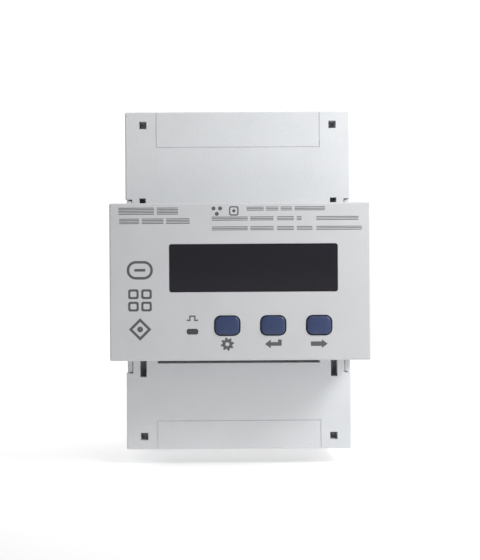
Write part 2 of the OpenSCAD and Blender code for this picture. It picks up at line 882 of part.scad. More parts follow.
module signal_terminal_strip() {
    half = signal_poles * signal_pitch / 2 + 0.4;
    entry_w = 3;
    entry_f = from(signal_strip_f[0], [1.2, 4]);
    well_f = [signal_strip_f[0] + 4.6, signal_strip_f[1] + cut];
    step = [2.4, 3.2];
    color([0.16, 0.42, 0.30]) difference() {
        block(sym(half), signal_strip_f, [shelf_z + 0.1, strip_end_z]);
        for (x = signal_x) {
            rod_f([x, signal_screw_z], 1.6, well_f);
            block(about(x, entry_w / 2), entry_f, [signal_screw_z - entry_w / 2, end_z]);
        }
        block(sym(half + cut), [signal_strip_f[1] - step[0], signal_strip_f[1] + cut],
              [strip_end_z - step[1], end_z]);
    }
}

module signal_screws() {
    head_f = from(signal_strip_f[1], [-2.2, -1]);
    slot_f = [head_f[0] + 0.6, head_f[1] + cut];
    color(zinc) for (x = signal_x) difference() {
        rod_f([x, signal_screw_z], 1.5, head_f);
        translate([x, 0, signal_screw_z]) block(sym(1.6), slot_f, sym(0.25));
    }
}

base_housing();
front_housing();
top_cover();
bottom_cover();
case_screws();
wiring_label();
rail_clip();
clip_spring();
display_window();
lcd_frame();
lcd_glass();
lcd_backlight();
zebra_strips();
display_board();
keypad_mat();
set_button();
esc_button();
next_button();
set_dome();
esc_dome();
next_dome();
set_pill();
esc_pill();
next_pill();
pulse_lens();
pulse_led();
main_board();
supply_transformer();
electrolytic_capacitors();
film_capacitors();
varistors();
metering_chips();
optocouplers();
board_header();
voltage_taps();
current_transformer_l1();
current_transformer_l2();
current_transformer_l3();
busbar_l1();
busbar_l2();
busbar_l3();
busbar_n();
terminal_l1_in();
terminal_l2_in();
terminal_l3_in();
terminal_n_in();
terminal_l1_out();
terminal_l2_out();
terminal_l3_out();
terminal_n_out();
clamp_screws_in();
clamp_screws_out();
signal_board();
signal_header();
signal_terminal_strip();
signal_screws();
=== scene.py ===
"""Looks of a rail-mounted three-phase electricity meter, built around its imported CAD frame.

Everything is in metres in the CAD frame: +X right, +Y back into the rail, +Z up. Layout on the
front of the nose is given in millimetres from the middle of the nose.
"""

import json
import math

import bmesh
import bpy
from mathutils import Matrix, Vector


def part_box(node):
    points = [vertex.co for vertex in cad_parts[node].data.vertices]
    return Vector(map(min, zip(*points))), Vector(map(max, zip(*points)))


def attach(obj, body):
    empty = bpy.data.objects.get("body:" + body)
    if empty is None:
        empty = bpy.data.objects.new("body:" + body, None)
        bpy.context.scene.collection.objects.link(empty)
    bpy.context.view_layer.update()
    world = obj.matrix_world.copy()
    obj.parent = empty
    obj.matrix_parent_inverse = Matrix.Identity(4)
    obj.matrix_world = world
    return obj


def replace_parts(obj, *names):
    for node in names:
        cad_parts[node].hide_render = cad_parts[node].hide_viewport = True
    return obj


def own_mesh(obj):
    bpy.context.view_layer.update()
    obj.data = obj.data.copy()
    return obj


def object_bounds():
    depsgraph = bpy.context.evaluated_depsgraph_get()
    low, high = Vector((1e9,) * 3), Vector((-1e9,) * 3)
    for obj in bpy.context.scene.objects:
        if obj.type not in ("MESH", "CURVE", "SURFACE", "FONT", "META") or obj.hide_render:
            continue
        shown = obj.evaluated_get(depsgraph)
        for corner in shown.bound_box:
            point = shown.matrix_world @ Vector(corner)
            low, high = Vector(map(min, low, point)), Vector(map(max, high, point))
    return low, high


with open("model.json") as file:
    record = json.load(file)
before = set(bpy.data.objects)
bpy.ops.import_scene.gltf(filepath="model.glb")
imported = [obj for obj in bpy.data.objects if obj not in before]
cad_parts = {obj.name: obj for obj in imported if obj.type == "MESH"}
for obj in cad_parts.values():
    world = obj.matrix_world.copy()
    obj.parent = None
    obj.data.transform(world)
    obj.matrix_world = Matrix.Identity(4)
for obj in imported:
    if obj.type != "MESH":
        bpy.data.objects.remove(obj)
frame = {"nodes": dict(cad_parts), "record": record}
CAD_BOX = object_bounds()

MM = 0.001
FORWARD = Vector((0, -1, 0))
RIGHT = Vector((1, 0, 0))
UP = Vector((0, 0, 1))
NODES = frame["nodes"]
RECORD = frame["record"]
HOUSING = "housing"
KEYS = ("set", "esc", "next")
NOSE_FRONT_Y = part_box("front_housing")[0].y
BOARD_FRONT_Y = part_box("main_board")[0].y
CLIP_JOINT = "rail_clip_slide"


# ---- Materials -----------------------------------------------------------

# Most of a noise texture's values lie between these two
NOISE_SPREAD = (0.3, 0.7)
# Distance between a wave texture's bands at scale 1
WAVE_PITCH = 0.314
TRACK_PITCH = 0.0009
TRACK_PATCH = 0.0042
TRACK_EDGE = (0.55, 0.7)
MASK_COLOR = (0.010, 0.085, 0.038)
TRACK_COLOR = (0.035, 0.20, 0.085)
# Scale of the wave texture that draws a stack of sheets
SHEET_SCALE = 320


class Shader:
    """A Principled material with helpers for its procedural detail."""

    def __init__(self, name, color, roughness, metallic=0.0):
        self.material = bpy.data.materials.new(name)
        self.material.use_nodes = True
        self.tree = self.material.node_tree
        self.bsdf = self.tree.nodes["Principled BSDF"]
        self.bsdf.inputs["Base Color"].default_value = (*color, 1)
        self.bsdf.inputs["Roughness"].default_value = roughness
        self.bsdf.inputs["Metallic"].default_value = metallic
        self.color = color
        self.roughness = roughness
        self.coords = self.add("ShaderNodeTexCoord").outputs["Object"]

    def add(self, kind, **settings):
        node = self.tree.nodes.new(kind)
        for key, value in settings.items():
            if key in node.inputs:
                node.inputs[key].default_value = value
            else:
                setattr(node, key, value)
        return node

    def link(self, source, target):
        self.tree.links.new(source, target)

    def set(self, **values):
        """Sets sockets of the shader; a name's underscores stand for spaces."""
        for key, value in values.items():
            self.bsdf.inputs[key.replace("_", " ")].default_value = value

    def noise(self, size, detail=2.0, stretch=(1, 1, 1)):
        """Noise whose features are about size metres across."""
        mapping = self.add("ShaderNodeMapping", Scale=stretch)
        self.link(self.coords, mapping.inputs["Vector"])
        texture = self.add("ShaderNodeTexNoise", Scale=1 / size, Detail=detail)
        self.link(mapping.outputs["Vector"], texture.inputs["Vector"])
        return texture.outputs["Fac"]

    def map_range(self, value, start, end, low=0.0, high=1.0):
        """Maps values from start to end onto low to high, and holds them beyond."""
        node = self.add("ShaderNodeMapRange")
        sockets = ("From Min", "From Max", "To Min", "To Max")
        for socket, number in zip(sockets, (start, end, low, high)):
            node.inputs[socket].default_value = number
        self.link(value, node.inputs["Value"])
        return node.outputs["Result"]

    def mix_color(self, share, first, second):
        """Blends the base colour from first to second."""
        mix = self.add("ShaderNodeMix", data_type="RGBA")
        colors = [socket for socket in mix.inputs if socket.type == "RGBA"]
        for socket, color in zip(colors, (first, second)):
            socket.default_value = (*color, 1)
        self.link(share, mix.inputs["Factor"])
        output = next(socket for socket in mix.outputs if socket.type == "RGBA")
        self.link(output, self.bsdf.inputs["Base Color"])

    def vary_color(self, value, change):
        """Lightens and darkens the base colour by a share of itself."""
        shades = [[min(1, c * share) for c in self.color] for share in (1 - change, 1 + change)]
        self.mix_color(self.map_range(value, *NOISE_SPREAD), *shades)

    def vary_roughness(self, value, change):
        low, high = self.roughness - change, self.roughness + change
        self.link(self.map_range(value, *NOISE_SPREAD, low, high), self.bsdf.inputs["Roughness"])

    def bump(self, value, depth, strength=1.0):
        """Raises the surface by depth metres where value is 1, over earlier bumps."""
        node = self.add("ShaderNodeBump", Strength=strength, Distance=depth)
        self.link(value, node.inputs["Height"])
        earlier = self.bsdf.inputs["Normal"]
        if earlier.is_linked:
            self.link(earlier.links[0].from_socket, node.inputs["Normal"])
        self.link(node.outputs["Normal"], earlier)


def moulded_plastic(name, color, roughness):
    """Spark-eroded mould texture, with faint flow clouds in colour and gloss."""
    shader = Shader(name, color, roughness)
    shader.vary_color(shader.noise(0.012, detail=6), 0.022)
    shader.vary_roughness(shader.noise(0.004, detail=4), 0.06)
    shader.bump(shader.noise(0.014, detail=1), 0.00003, strength=0.25)
    shader.bump(shader.noise(0.00045, detail=2), 0.00004)
    shader.set(IOR=1.52)
    return shader.material


def smoked_acrylic(name):
    shader = Shader(name, (0.020, 0.019, 0.025), 0.09)
    shader.vary_roughness(shader.noise(0.004, detail=4), 0.03)
    shader.bump(shader.noise(0.02, detail=1), 0.00001, strength=0.15)
    shader.set(Transmission_Weight=0.15, IOR=1.49, Specular_IOR_Level=0.25)
    return shader.material


def rubber(name, color, roughness=0.55):
    shader = Shader(name, color, roughness)
    shader.vary_color(shader.noise(0.002, detail=3), 0.05)
    shader.vary_roughness(shader.noise(0.0012, detail=3), 0.08)
    shader.bump(shader.noise(0.00016, detail=2), 0.000008, strength=0.6)
    return shader.material


def gloss_plastic(name, color, roughness=0.22):
    shader = Shader(name, color, roughness)
    shader.vary_color(shader.noise(0.003, detail=2), 0.05)
    shader.vary_roughness(shader.noise(0.0008, detail=4), 0.07)
    shader.bump(shader.noise(0.0012, detail=2), 0.00001, strength=0.3)
    return shader.material


def brushed_metal(name, color, roughness, along=(1, 1, 0.04)):
    """Fine drawn scratches along one axis and a dull uneven film."""
    shader = Shader(name, color, roughness, metallic=1.0)
    scratches = shader.noise(0.00012, detail=3, stretch=along)
    shader.vary_color(shader.noise(0.0025, detail=4), 0.08)
    shader.vary_roughness(scratches, 0.09)
    shader.bump(scratches, 0.000003, strength=0.5)
    return shader.material


def circuit_board(name):
    """Green solder mask over copper tracks that run across in some patches and up in others."""
    shader = Shader(name, (0.012, 0.10, 0.045), 0.32)
    patches = shader.add(
        "ShaderNodeTexVoronoi", Scale=1 / TRACK_PATCH, Randomness=0.35, distance="CHEBYCHEV"
    )
    shader.link(shader.coords, patches.inputs["Vector"])
    pick = shader.add("ShaderNodeSeparateColor")
    shader.link(patches.outputs["Color"], pick.inputs["Color"])
    stripes = []
    for direction in ("X", "Z"):
        waves = shader.add(
            "ShaderNodeTexWave", Scale=WAVE_PITCH / TRACK_PITCH, bands_direction=direction
        )
        shader.link(shader.coords, waves.inputs["Vector"])
        stripes.append(waves.outputs["Fac"])
    choose = shader.add("ShaderNodeMix", data_type="FLOAT")
    half = shader.map_range(pick.outputs["Red"], 0.49, 0.51)
    shader.link(half, choose.inputs["Factor"])
    shader.link(stripes[0], choose.inputs["A"])
    shader.link(stripes[1], choose.inputs["B"])
    tracks = shader.map_range(choose.outputs["Result"], *TRACK_EDGE)
    shader.mix_color(tracks, MASK_COLOR, TRACK_COLOR)
    shader.bump(tracks, 0.00003, strength=0.6)
    shader.vary_roughness(shader.noise(0.0015, detail=3), 0.08)
    return shader.material


def laminated_core(name):
    """Dark stamped steel sheets stacked along the depth."""
    shader = Shader(name, (0.09, 0.09, 0.10), 0.5, metallic=0.7)
    waves = shader.add(
        "ShaderNodeTexWave", Scale=SHEET_SCALE, Distortion=0.6, bands_direction="Z"
    )
    shader.link(shader.coords, waves.inputs["Vector"])
    shader.bump(waves.outputs["Fac"], 0.00008, strength=0.8)
    shader.vary_color(shader.noise(0.002, detail=4), 0.25)
    return shader.material


def film_label(name):
    shader = Shader(name, (0.66, 0.66, 0.64), 0.38)
    shader.vary_color(shader.noise(0.004, detail=3), 0.015)
    shader.vary_roughness(shader.noise(0.001, detail=3), 0.05)
    shader.bump(shader.noise(0.0015, detail=2), 0.000008, strength=0.4)
    return shader.material


def lcd_glass(name):
    shader = Shader(name, (0.17, 0.20, 0.18), 0.12)
    shader.vary_color(shader.noise(0.02, detail=2), 0.06)
    shader.vary_roughness(shader.noise(0.005, detail=3), 0.04)
    shader.set(IOR=1.5, Coat_Weight=0.4, Coat_Roughness=0.05)
    return shader.material


MATERIALS = {
    # Painted shade: the housing plastic is made a shade darker than the cover plastic, so that
    # the nose, which sits nearer the key light, comes out darker than the covers
    "housing": moulded_plastic("housing_plastic", (0.53, 0.535, 0.55), 0.52),
    "cover": moulded_plastic("cover_plastic", (0.615, 0.63, 0.645), 0.48),
    "clip": moulded_plastic("clip_plastic", (0.47, 0.48, 0.49), 0.45),
    "frame_plastic": moulded_plastic("frame_plastic", (0.72, 0.72, 0.69), 0.5),
    "chip_black": moulded_plastic("chip_plastic", (0.02, 0.02, 0.022), 0.45),
    "strip_green": moulded_plastic("strip_plastic", (0.03, 0.19, 0.09), 0.42),
    "key": rubber("key_plastic", (0.026, 0.042, 0.112), 0.42),
    "zebra": rubber("zebra_rubber", (0.05, 0.05, 0.055)),
    "silicone": rubber("silicone_rubber", (0.45, 0.46, 0.48)),
    "carbon": rubber("carbon_rubber", (0.012, 0.012, 0.012), 0.7),
    "smoked_window": smoked_acrylic("smoked_acrylic"),
    "lcd": lcd_glass("lcd_glass"),
    "light_guide": gloss_plastic("light_guide", (0.85, 0.87, 0.88), 0.3),
    "lens": gloss_plastic("pulse_lens", (0.055, 0.057, 0.06), 0.25),
    "led": gloss_plastic("led_epoxy", (0.75, 0.70, 0.55), 0.15),
    "capacitor_sleeve": gloss_plastic("capacitor_sleeve", (0.015, 0.025, 0.07)),
    "film_yellow": gloss_plastic("film_capacitor", (0.62, 0.40, 0.05), 0.3),
    "varistor_blue": gloss_plastic("varistor_lacquer", (0.02, 0.09, 0.30)),
    "transformer_blue": gloss_plastic("transformer_tape", (0.02, 0.07, 0.22), 0.35),
    "circuit_board": circuit_board("circuit_board"),
    "ferrite": laminated_core("laminated_core"),
    "copper": brushed_metal("tinned_copper", (0.78, 0.42, 0.28), 0.32),
    "nickel_brass": brushed_metal("nickel_brass", (0.72, 0.69, 0.62), 0.34, (1, 1, 0.3)),
    "steel": brushed_metal("zinc_steel", (0.62, 0.63, 0.65), 0.30, (1, 1, 1)),
    "ink": rubber("ink", (0.085, 0.095, 0.10), 0.6),
    "label": film_label("label_film"),
}


def dress_nodes():
    """Gives each CAD node the material of its slot."""
    for row in RECORD["subparts"]:
        mesh = NODES[row["node"]].data
        mesh.materials.clear()
        mesh.materials.append(MATERIALS[row["material_slot"]])


# ---- Rounded edges on the CAD nodes --------------------------------------

SHARP_ANGLE = math.radians(35)
WELD_DISTANCE = 1e-6
EDGE_SEGMENTS = 2
EDGE_RADII = {
    0.00025: ["base_housing", "front_housing", "top_cover", "bottom_cover"],
    0.0002: ["rail_clip", "signal_terminal_strip", "lcd_frame"],
    0.00015: [
        name for name in NODES if name.startswith(("terminal_", "clamp_screws", "busbar"))
    ],
    0.0001: [
        "case_screws", "signal_screws", "pulse_lens", "display_window", "metering_chips",
        "optocouplers", "main_board", "display_board", "signal_board", "film_capacitors",
    ],
}


def round_edges():
    for radius, names in EDGE_RADII.items():
        for name in names:
            node = NODES[name]
            node.modifiers.new("weld", "WELD").merge_threshold = WELD_DISTANCE
            bevel = node.modifiers.new("bevel", "BEVEL")
            bevel.width = radius
            bevel.segments = EDGE_SEGMENTS
            bevel.limit_method = "ANGLE"
            bevel.angle_limit = SHARP_ANGLE
            bevel.use_clamp_overlap = True
            bevel.harden_normals = True


# ---- Building pieces -----------------------------------------------------


def add_piece(name, mesh, slot, body=HOUSING):
    """Turns a bmesh into a piece that rides on a body and has its slot's material."""
    bmesh.ops.recalc_face_normals(mesh, faces=mesh.faces)
    data = bpy.data.meshes.new(name)
    mesh.to_mesh(data)
    mesh.free()
    data.shade_smooth()
    data.set_sharp_from_angle(angle=SHARP_ANGLE)
    data.materials.append(MATERIALS[slot])
    piece = bpy.data.objects.new(name, data)
    bpy.context.scene.collection.objects.link(piece)
    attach(piece, body)
    return piece


def bridge(mesh, rings, closed=False):
    """Joins rings that have the same number of points, and caps the ends of an open row."""
    rings = [[mesh.verts.new(point) for point in ring] for ring in rings]
    pairs = list(zip(rings, rings[1:]))
    if closed:
        pairs.append((rings[-1], rings[0]))
    else:
        mesh.faces.new(rings[0][::-1])
        mesh.faces.new(rings[-1])
    for a, b in pairs:
        for i in range(len(a)):
            j = (i + 1) % len(a)
            mesh.faces.new((a[i], a[j], b[j], b[i]))


def tube(mesh, path, radius, sides=8):
    """Sweeps a round section along a path of points without twisting it."""
    rings = []
    normal = None
    for i, point in enumerate(path):
        along = (path[min(i + 1, len(path) - 1)] - path[max(i - 1, 0)]).normalized()
        if normal is None:
            normal = along.orthogonal()
        normal = (normal - along * normal.dot(along)).normalized()
        across = along.cross(normal)
        rings.append([
            point + radius * (math.cos(turn) * normal + math.sin(turn) * across)
            for turn in angles(sides)
        ])
    bridge(mesh, rings)


def lathe(mesh, middle, axis, profile, sides=48, closed=False):
    """Turns a profile of (radius, height) points about an axis through middle."""
    u = axis.orthogonal().normalized()
    v = axis.cross(u)
    rings = [
        [
            middle + axis * height + radius * (math.cos(turn) * u + math.sin(turn) * v)
            for turn in angles(sides)
        ]
        for radius, height in profile
    ]
    bridge(mesh, rings, closed)


def angles(count):
    return [i / count * 2 * math.pi for i in range(count)]


def circle(x, z, radius, sides=28):
    return [(x + radius * math.cos(turn), z + radius * math.sin(turn)) for turn in angles(sides)]


def rounded_box(x, z, width, height, radius, corner_sides=5):
    """Outline of a rounded rectangle about a middle point."""
    points = []
    for quarter in range(4):
        cx = (width / 2 - radius) * (1 if quarter in (0, 3) else -1)
        cz = (height / 2 - radius) * (1 if quarter in (0, 1) else -1)
        for i in range(corner_sides + 1):
            turn = (quarter + i / corner_sides) * math.pi / 2
            points.append((x + cx + radius * math.cos(turn), z + cz + radius * math.sin(turn)))
    return points


def slab(mesh, outline, front, back):
    """Extrudes an outline of (x, z) points along the depth."""
    bridge(mesh, [[(x, y, z) for x, z in outline] for y in (front, back)])


# How far a softened edge's middle stays off the two faces, as a share of the edge
EDGE_CUT = 0.3


def softened_slab(mesh, outline_at, front, back, edge):
    """A slab with softened front edges; outline_at gives the outline for an inset."""
    cut = edge * EDGE_CUT
    steps = ((edge, front), (cut, front + cut), (0, front + edge), (0, back))
    bridge(mesh, [[(x, y, z) for x, z in outline_at(inset)] for inset, y in steps])


def evenly(first, last, count):
    return [first + (last - first) * i / (count - 1) for i in range(count)]


def points_of(node):
    return [vertex.co for vertex in NODES[node].data.vertices]


def travel_of(joint):
    """Longest travel of a sliding joint."""
    row = next(row for row in RECORD["behaviour"]["joints"] if row["name"] == joint)
    return row["range_m"][1]


def middle_of(node):
    low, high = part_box(node)
    return (low + high) / 2


# ---- Keys ----------------------------------------------------------------

KEY_CORNER = 1.7 * MM
KEY_CORNER_SIDES = 10
KEY_RIM = 0.45 * MM
KEY_RIM_STEPS = 5
KEY_CROWN = 0.16 * MM
# Sizes of the rings that draw the crown, as shares of the top
CROWN_RINGS = (0.85, 0.68, 0.5, 0.3, 0.1)
LIP_CORNER = 2.0 * MM
# Points this near to a face count as lying in it
TINY = 1e-5


def make_key(node, body):
    """A key cap with a rounded rim and a slightly domed top, on the lip that keeps it in."""
    low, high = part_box(node)
    middle = middle_of(node)
    in_front = [p for p in points_of(node) if p.y < NOSE_FRONT_Y]
    cap_w = max(p.x for p in in_front) - min(p.x for p in in_front)
    cap_h = max(p.z for p in in_front) - min(p.z for p in in_front)
    lip_w, lip_h = high.x - low.x, high.z - low.z
    lip_ys = [p.y for p in points_of(node) if p.x < low.x + TINY]
    lip_front, lip_back = min(lip_ys), max(lip_ys)

    def ring(width, height, corner, y):
        outline = rounded_box(middle.x, middle.z, width, height, corner, KEY_CORNER_SIDES)
        return [(x, y, z) for x, z in outline]

    rings = [
        ring(cap_w, cap_h, KEY_CORNER, high.y),
        ring(cap_w, cap_h, KEY_CORNER, lip_back),
        ring(lip_w, lip_h, LIP_CORNER, lip_back),
        ring(lip_w, lip_h, LIP_CORNER, lip_front),
        ring(cap_w, cap_h, KEY_CORNER, lip_front),
    ]
    for i in range(KEY_RIM_STEPS + 1):
        turn = i / KEY_RIM_STEPS * math.pi / 2
        inset = KEY_RIM * (1 - math.cos(turn))
        y = low.y + KEY_CROWN + KEY_RIM * (1 - math.sin(turn))
        rings.append(ring(cap_w - 2 * inset, cap_h - 2 * inset, KEY_CORNER - inset, y))
    top_w, top_h = cap_w - 2 * KEY_RIM, cap_h - 2 * KEY_RIM
    for share in CROWN_RINGS:
        corner = (KEY_CORNER - KEY_RIM) * share
        y = low.y + KEY_CROWN * share ** 2
        rings.append(ring(top_w * share, top_h * share, corner, y))
    mesh = bmesh.new()
    bridge(mesh, rings)
    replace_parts(add_piece(node.replace("button", "key_cap"), mesh, "key", body), node)


# ---- Key domes -----------------------------------------------------------

DOME_WALL = 0.85 * MM
DOME_FOOT = 0.8 * MM
DOME_CROWN = 3.0 * MM
DOME_STEPS = 8


def slope(start, end, low, high):
    """An S-shaped run of (radius, height) points."""
    points = []
    for i in range(DOME_STEPS + 1):
        share = i / DOME_STEPS
        ease = (1 - math.cos(share * math.pi)) / 2
        points.append((start + (end - start) * ease, low + (high - low) * share))
    return points


def make_dome(node, pill):
    """A hollow rubber dome with a thin skirt."""
    low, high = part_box(node)
    middle = middle_of(node)
    height, foot = high.y - low.y, (high.x - low.x) / 2
    roof = high.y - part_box(pill)[0].y
    inside = slope(DOME_CROWN - DOME_WALL, foot - DOME_WALL, roof, DOME_FOOT)
    outside = slope(foot, DOME_CROWN, DOME_FOOT + DOME_WALL / 2, height - DOME_WALL / 3)
    profile = inside + [(foot - DOME_WALL, 0), (foot, 0)] + outside
    profile.append((DOME_CROWN - DOME_WALL / 3, height))
    base = Vector((middle.x, high.y, middle.z))
    mesh = bmesh.new()
    lathe(mesh, base, FORWARD, profile)
    dome = add_piece(node.replace("dome", "key_dome"), mesh, "silicone")
    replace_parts(dome, node)
    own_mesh(dome)


# ---- Clip spring ---------------------------------------------------------

SPRING_TURNS = 9
SPRING_WIRE = 0.5 * MM
SPRING_POINTS = 20


def make_clip_spring():
    """A wound spring with flat end turns."""
    low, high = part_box("clip_spring")
    middle = (low + high) / 2
    radius = (high.x - low.x - SPRING_WIRE) / 2
    count = SPRING_TURNS * SPRING_POINTS
    bottom, top = low.z + SPRING_WIRE / 2, high.z - SPRING_WIRE / 2
    path = []
    for i in range(count + 1):
        turn = i / SPRING_POINTS * 2 * math.pi
        rise = min(1, max(0, (i - SPRING_POINTS) / (count - 2 * SPRING_POINTS)))
        path.append(Vector((
            middle.x + radius * math.cos(turn),
            middle.y + radius * math.sin(turn),
            bottom + (top - bottom) * rise,
        )))
    mesh = bmesh.new()
    tube(mesh, path, SPRING_WIRE / 2)
    spring = add_piece("wound_clip_spring", mesh, "steel")
    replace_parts(spring, "clip_spring")
    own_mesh(spring)


# ---- Current transformers ------------------------------------------------

WINDING_TURNS = 44
WINDING_WIRE = 0.46 * MM
WINDING_CORNER = 0.7 * MM
CORE_HOLE = 3.8 * MM
CORE_CORNER = 0.5 * MM
CORE_SIDES = 64


def make_current_transformer(node):
    """A taped ring core wound all round with enamelled wire."""
    low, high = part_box(node)
    middle = (low + high) / 2
    outer = (high.x - low.x) / 2
    ring_middle, ring_width = (outer + CORE_HOLE) / 2, outer - CORE_HOLE
    ring_height = high.z - low.z

    def section(inset, corner, corner_sides):
        width, height = ring_width - 2 * inset, ring_height - 2 * inset
        return rounded_box(ring_middle, 0, width, height, corner, corner_sides)

    core = bmesh.new()
    lathe(core, middle, UP, section(WINDING_WIRE, CORE_CORNER, 3), CORE_SIDES, closed=True)
    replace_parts(add_piece(node + "_core", core, "transformer_blue"), node)

    wire = bmesh.new()
    loop = section(WINDING_WIRE / 2, WINDING_CORNER, 2)
    steps = WINDING_TURNS * len(loop)
    path = []
    for i in range(steps - len(loop)):
        turn = i / steps * 2 * math.pi
        radius, height = loop[i % len(loop)]
        path.append(middle + Vector((radius * math.cos(turn), radius * math.sin(turn), height)))
    tube(wire, path, WINDING_WIRE / 2, sides=6)
    add_piece(node + "_winding", wire, "copper")


# ---- Parts on the boards -------------------------------------------------

CAN_GROOVE = 0.4 * MM
# A can's profile in grooves: inset and height over the foot, then inset and depth under the end
CAN_FOOT = [(2, 0), (1, 1), (0, 2), (0, 4), (1, 5), (1, 6), (0, 7)]
CAN_RIM = [(0, 2), (0.3, 0.7), (1, 0.2), (2.25, 0.2), (2.25, 1.5)]
CAN_END_DEPTHS = (0.4, 2)
HALF_SCORE = 0.16 * MM


def make_electrolytic_capacitors(count=3):
    """Sleeved cans with a crimped foot and a scored end."""
    node = "electrolytic_capacitors"
    low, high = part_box(node)
    radius = (high.z - low.z) / 2
    height = high.y - low.y
    profile = [(radius - a * CAN_GROOVE, b * CAN_GROOVE) for a, b in CAN_FOOT]
    profile += [(radius - a * CAN_GROOVE, height - b * CAN_GROOVE) for a, b in CAN_RIM]
    end_radius = profile[-1][0]
    front, back = (low.y + depth * CAN_GROOVE for depth in CAN_END_DEPTHS)
    sleeves, ends = bmesh.new(), bmesh.new()
    for x in evenly(low.x + radius, high.x - radius, count):
        base = Vector((x, high.y, (low.z + high.z) / 2))
        lathe(sleeves, base, FORWARD, profile)
        for quarter in range(4):
            slab(ends, scored_quarter(base.x, base.z, end_radius, quarter), front, back)
    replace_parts(add_piece("capacitor_sleeves", sleeves, "capacitor_sleeve"), node)
    add_piece("capacitor_ends", ends, "steel")


def scored_quarter(x, z, radius, quarter, steps=8):
    """Outline of a quarter of a disc, kept half a score line off its two straight sides."""
    sx, sz = ((1, 1), (-1, 1), (-1, -1), (1, -1))[quarter]
    start = math.asin(HALF_SCORE / radius)
    turns = [start + (math.pi / 2 - 2 * start) * i / steps for i in range(steps + 1)]
    points = [(HALF_SCORE, HALF_SCORE)]
    points += [(radius * math.cos(turn), radius * math.sin(turn)) for turn in turns]
    return [(x + sx * a, z + sz * b) for a, b in points]


DISC_W = 3.4 * MM
DISC_CORNER = 0.42 * DISC_W
# Shares of the disc's radius: its flat middle, how far out its legs stand, and where they enter
DISC_FLAT = 0.2
LEG_OUT = 0.45
LEG_ENTRY = (0.7, 0.95)
# Share of the disc's width that each leg bends aside
LEG_BEND = 0.3
LEG_RADIUS = 0.3 * MM
LEG_FOOT = 0.5 * MM


def make_varistors(count=3):
    """Lacquered discs on two bent legs."""
    node = "varistors"
    low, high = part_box(node)
    radius = (high.z - low.z) / 2
    middle = Vector((0, low.y + radius, (low.z + high.z) / 2))
    rim = rounded_box(0, 0, 2 * radius, DISC_W, DISC_CORNER, 5)
    profile = sorted({(abs(r), h) for r, h in rim if r > 0}, key=lambda point: point[1])
    flat = radius * DISC_FLAT
    profile = [(flat, -DISC_W / 2)] + profile + [(flat, DISC_W / 2)]
    entries = [middle.y + radius * share for share in LEG_ENTRY]
    discs, legs = bmesh.new(), bmesh.new()
    for left in evenly(low.x, high.x - DISC_W, count):
        middle.x = left + DISC_W / 2
        lathe(discs, middle, RIGHT, profile)
        for side in (-1, 1):
            z = middle.z + side * radius * LEG_OUT
            x = middle.x + side * DISC_W * LEG_BEND
            path = [Vector((middle.x, y, z)) for y in entries]
            path += [Vector((x, y, z)) for y in (high.y - LEG_FOOT, high.y)]
            tube(legs, path, LEG_RADIUS)
    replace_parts(add_piece("varistor_discs", discs, "varistor_blue"), node)
    add_piece("varistor_legs", legs, "steel")


HEADER_PITCH = 2.54 * MM
HEADER_BLOCK = 2.5 * MM
HEADER_CORNER = 0.3 * MM
HEADER_EDGE = 0.2 * MM
PIN_W = 0.64 * MM
PIN_CORNER = 0.08 * MM
PIN_TIP = 0.25 * MM


def make_header(node):
    """Two plastic blocks on a row of square tinned pins."""
    low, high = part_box(node)
    middle = middle_of(node)
    width, height = high.x - low.x, high.z - low.z
    blocks, pins = bmesh.new(), bmesh.new()

    def block(inset):
        size = (width - 2 * inset, height - 2 * inset)
        return rounded_box(middle.x, middle.z, *size, HEADER_CORNER, 2)

    for front, back in ((low.y, low.y + HEADER_BLOCK), (high.y - HEADER_BLOCK, high.y)):
        softened_slab(blocks, block, front, back, HEADER_EDGE)
    count = round(width / HEADER_PITCH)
    reach = (count - 1) / 2 * HEADER_PITCH
    for x in evenly(middle.x - reach, middle.x + reach, count):
        outline = rounded_box(x, middle.z, PIN_W, PIN_W, PIN_CORNER, 2)
        slab(pins, outline, low.y - PIN_TIP, high.y + PIN_TIP)
    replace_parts(add_piece(node + "_blocks", blocks, "chip_black"), node)
    add_piece(node + "_pins", pins, "steel")


TAPE_DEPTH = 5.6 * MM
TAPE_WIDTH = 12.0 * MM
TAPE_PROUD = 0.12 * MM
TAPE_CORNER = 1.6 * MM
TAPE_INNER_CORNER = 1.0 * MM
TAPE_TO_BOARD = 9.5 * MM
# Place along the tape's half depth and inset in millimetres, from the front to the back
TAPE_LAYERS = [
    (-1, 0.4), (-0.93, 0.1), (-0.5, 0), (-0.47, 0.08), (-0.1, 0.08),
    (-0.07, 0), (0.4, 0), (0.43, 0.1), (0.93, 0.1), (1, 0.4),
]


def make_transformer_tape():
    """Layers of yellow tape round the supply transformer's coil."""
    low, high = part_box("supply_transformer")
    middle = middle_of("supply_transformer")
    middle_y = BOARD_FRONT_Y - TAPE_TO_BOARD
    height = high.z - low.z

    def ring(place, proud, corner):
        size = (TAPE_WIDTH + 2 * proud, height + 2 * proud)
        outline = rounded_box(middle.x, middle.z, *size, corner, 6)
        return [(x, middle_y + place * TAPE_DEPTH / 2, z) for x, z in outline]

    rings = [ring(place, TAPE_PROUD - inset * MM, TAPE_CORNER) for place, inset in TAPE_LAYERS]
    rings += [ring(place, -MM, TAPE_INNER_CORNER) for place in (1, -1)]
    tape = bmesh.new()
    bridge(tape, rings, closed=True)
    add_piece("supply_transformer_tape", tape, "film_yellow")


# Rows of chip parts on the main board, in millimetres: first x, last x, z and how many
CHIP_ROWS = [
    (-25, -7, 18.7, 8), (8, 25, 18.7, 7), (-27, -13, -9.1, 6), (15, 27, -9.1, 5),
    (-25, -14, -20, 5), (17, 25, -20, 4), (-13, -11.5, -16.5, 2), (25.6, 27.6, -14, 2),
]
CHIP_SIZE = (0.85, 1.6, 0.5)
CHIP_CORNER = 0.05 * MM
CHIP_EDGE = 0.08 * MM
